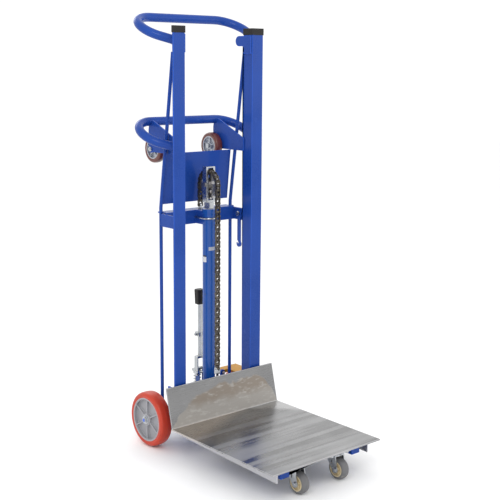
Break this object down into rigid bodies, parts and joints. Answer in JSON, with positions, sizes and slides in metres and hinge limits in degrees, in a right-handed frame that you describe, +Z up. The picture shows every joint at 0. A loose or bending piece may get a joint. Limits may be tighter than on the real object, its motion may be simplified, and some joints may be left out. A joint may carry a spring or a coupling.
{
  "type": "walkie stacker",
  "caption": "Two-post foot-pump lift cart: hydraulic ram and roller chain raise an aluminium platform between wheels and swivel casters.",
  "frame": {"origin": "on the floor, under the middle of the whole cart's box", "axes": "+Z up, -Y towards the platform's front edge, +X to the right of someone who looks from the platform to the posts"},
  "size_m": [0.502, 0.8386, 1.5709],
  "materials": {
    "blue_paint": "glossy powder coat",
    "cylinder_paint": "glossy paint",
    "black_vinyl": "satin vinyl",
    "zinc_plate": "bright zinc plating",
    "bare_steel": "machined steel",
    "chain_steel": "oiled dark steel",
    "aluminium_sheet": "mill finish sheet",
    "red_polyurethane": "satin cast polyurethane",
    "grey_hub": "satin moulded hub",
    "brown_polyurethane": "satin cast polyurethane",
    "dock_hub_metal": "cast aluminium",
    "grey_rubber": "non-marking rubber",
    "cream_hub": "moulded polyolefin",
    "yellow_paint": "safety paint"
  },
  "bodies": {
    "frame": {"left_post": "blue_paint", "right_post": "blue_paint", "post_caps": "black_vinyl", "crossbar": "blue_paint", "side_straps": "blue_paint", "truss_rods": "blue_paint", "back_panel": "blue_paint", "upper_handle": "blue_paint", "lower_handle": "blue_paint", "dock_brackets": "blue_paint", "frame_bolts": "zinc_plate", "base_frame": "blue_paint", "rear_axle": "bare_steel", "axle_nuts": "zinc_plate", "caster_plates": "zinc_plate", "cylinder_barrel": "cylinder_paint", "cylinder_gland": "cylinder_paint", "pump_block": "cylinder_paint", "cylinder_clamp": "zinc_plate", "chain_anchor": "zinc_plate", "chain_rear": "chain_steel", "return_spring": "zinc_plate"},
    "ram": {"ram_rod": "zinc_plate", "ram_nut": "zinc_plate", "yoke": "zinc_plate", "sprocket_pin": "bare_steel", "chain_wrap": "chain_steel", "chain_run_1": "chain_steel"},
    "sprocket_wheel": {"sprocket": "bare_steel"},
    "chain_upper_third": {"chain_run_2": "chain_steel"},
    "chain_lower_third": {"chain_run_3": "chain_steel"},
    "carriage": {"platform": "aluminium_sheet", "platform_skirts": "aluminium_sheet", "carriage_frame": "blue_paint", "chain_eye": "zinc_plate", "chain_run_4": "chain_steel"},
    "roller_upper_left": {"upper_roller_left": "bare_steel"},
    "roller_upper_right": {"upper_roller_right": "bare_steel"},
    "roller_lower_left": {"lower_roller_left": "bare_steel"},
    "roller_lower_right": {"lower_roller_right": "bare_steel"},
    "rear_wheel_left": {"wheel_tyre_left": "red_polyurethane", "wheel_hub_left": "grey_hub"},
    "rear_wheel_right": {"wheel_tyre_right": "red_polyurethane", "wheel_hub_right": "grey_hub"},
    "caster_swivel_left": {"caster_fork_left": "zinc_plate"},
    "caster_swivel_right": {"caster_fork_right": "zinc_plate"},
    "caster_wheel_left": {"caster_tyre_left": "grey_rubber", "caster_hub_left": "cream_hub"},
    "caster_wheel_right": {"caster_tyre_right": "grey_rubber", "caster_hub_right": "cream_hub"},
    "dock_wheel_left": {"dock_tyre_left": "brown_polyurethane", "dock_hub_left": "dock_hub_metal"},
    "dock_wheel_right": {"dock_tyre_right": "brown_polyurethane", "dock_hub_right": "dock_hub_metal"},
    "pedal": {"pedal_arm": "zinc_plate", "pedal_grip": "black_vinyl"},
    "plunger": {"pump_plunger": "zinc_plate"},
    "valve": {"release_valve": "zinc_plate"},
    "brake": {"brake_pedal": "yellow_paint"},
    "hook": {"latch_hook": "blue_paint"}
  },
  "joints": [
    {"name": "ram_slide", "type": "slide", "parent": "frame", "child": "ram", "axis": [0, 0, 1], "range_m": [0, 0.5715], "deforming": ["chain_run_1", "chain_run_2", "chain_run_3", "chain_run_4", "chain_wrap", "chain_rear"]},
    {"name": "sprocket_spin", "type": "hinge", "parent": "ram", "child": "sprocket_wheel", "pos_m": [0, 0.2211, 0.963], "axis": [-1, 0, 0], "range_deg": [-5, 653]},
    {"name": "chain_upper_slide", "type": "slide", "parent": "ram", "child": "chain_upper_third", "axis": [0, 0, 1], "range_m": [0, 0.1907]},
    {"name": "chain_lower_slide", "type": "slide", "parent": "ram", "child": "chain_lower_third", "axis": [0, 0, 1], "range_m": [0, 0.3812]},
    {"name": "carriage_slide", "type": "slide", "parent": "ram", "child": "carriage", "axis": [0, 0, 1], "range_m": [0, 0.5717]},
    {"name": "roller_upper_left_spin", "type": "hinge", "parent": "carriage", "child": "roller_upper_left", "pos_m": [-0.17985, 0.17885, 0.236], "axis": [1, 0, 0], "range_deg": [-5, 5904.92]},
    {"name": "roller_upper_right_spin", "type": "hinge", "parent": "carriage", "child": "roller_upper_right", "pos_m": [0.17985, 0.17885, 0.236], "axis": [1, 0, 0], "range_deg": [-5, 5904.92]},
    {"name": "roller_lower_left_spin", "type": "hinge", "parent": "carriage", "child": "roller_lower_left", "pos_m": [-0.17985, 0.1499, 0.15], "axis": [-1, 0, 0], "range_deg": [-5, 5904.92]},
    {"name": "roller_lower_right_spin", "type": "hinge", "parent": "carriage", "child": "roller_lower_right", "pos_m": [0.17985, 0.1499, 0.15], "axis": [-1, 0, 0], "range_deg": [-5, 5904.92]},
    {"name": "rear_wheel_left_spin", "type": "hinge", "parent": "frame", "child": "rear_wheel_left", "pos_m": [-0.21425, 0.2925, 0.1016], "axis": [1, 0, 0], "continuous": true},
    {"name": "caster_left_swivel", "type": "hinge", "parent": "frame", "child": "caster_swivel_left", "pos_m": [-0.0934, -0.3535, 0.092], "axis": [0, 0, 1], "continuous": true},
    {"name": "caster_wheel_left_spin", "type": "hinge", "parent": "caster_swivel_left", "child": "caster_wheel_left", "pos_m": [-0.0934, -0.3755, 0.0381], "axis": [1, 0, 0], "continuous": true},
    {"name": "dock_wheel_left_spin", "type": "hinge", "parent": "frame", "child": "dock_wheel_left", "pos_m": [-0.1305, 0.3685, 1.089], "axis": [1, 0, 0], "continuous": true},
    {"name": "rear_wheel_right_spin", "type": "hinge", "parent": "frame", "child": "rear_wheel_right", "pos_m": [0.21425, 0.2925, 0.1016], "axis": [1, 0, 0], "continuous": true},
    {"name": "caster_right_swivel", "type": "hinge", "parent": "frame", "child": "caster_swivel_right", "pos_m": [0.0934, -0.3535, 0.092], "axis": [0, 0, 1], "continuous": true},
    {"name": "caster_wheel_right_spin", "type": "hinge", "parent": "caster_swivel_right", "child": "caster_wheel_right", "pos_m": [0.0934, -0.3755, 0.0381], "axis": [1, 0, 0], "continuous": true},
    {"name": "dock_wheel_right_spin", "type": "hinge", "parent": "frame", "child": "dock_wheel_right", "pos_m": [0.1305, 0.3685, 1.089], "axis": [1, 0, 0], "continuous": true},
    {"name": "pedal_pump", "type": "hinge", "parent": "frame", "child": "pedal", "pos_m": [0, 0.2715, 0.242], "axis": [-1, 0, 0], "range_deg": [0, 50]},
    {"name": "plunger_slide", "type": "slide", "parent": "frame", "child": "plunger", "axis": [0, 0, -1], "range_m": [0, 0.0245], "deforming": ["return_spring"]},
    {"name": "valve_turn", "type": "hinge", "parent": "frame", "child": "valve", "pos_m": [-0.036, 0.2725, 0.12], "axis": [-1, 0, 0], "range_deg": [0, 40]},
    {"name": "brake_press", "type": "hinge", "parent": "frame", "child": "brake", "pos_m": [0.14, 0.3225, 0.205], "axis": [0, 1, 0], "range_deg": [0, 1.5], "stiffness_Nm_per_rad": 20, "springref_deg": -17.19},
    {"name": "hook_swing", "type": "hinge", "parent": "frame", "child": "hook", "pos_m": [0.155, 0.2335, 0.842], "axis": [1, 0, 0], "range_deg": [0, 20]}
  ],
  "couplings": [
    {"joint": "sprocket_spin", "follows": "ram_slide", "rad_per_m": 19.79},
    {"joint": "chain_upper_slide", "follows": "ram_slide", "ratio": 0.33333},
    {"joint": "chain_lower_slide", "follows": "ram_slide", "ratio": 0.66667},
    {"joint": "carriage_slide", "follows": "ram_slide", "ratio": 1},
    {"joint": "plunger_slide", "follows": "pedal_pump", "m_per_rad": 0.028},
    {"joint": "roller_upper_left_spin", "follows": "ram_slide", "rad_per_m": 180.18},
    {"joint": "roller_upper_right_spin", "follows": "ram_slide", "rad_per_m": 180.18},
    {"joint": "roller_lower_left_spin", "follows": "ram_slide", "rad_per_m": 180.18},
    {"joint": "roller_lower_right_spin", "follows": "ram_slide", "rad_per_m": 180.18}
  ]
}
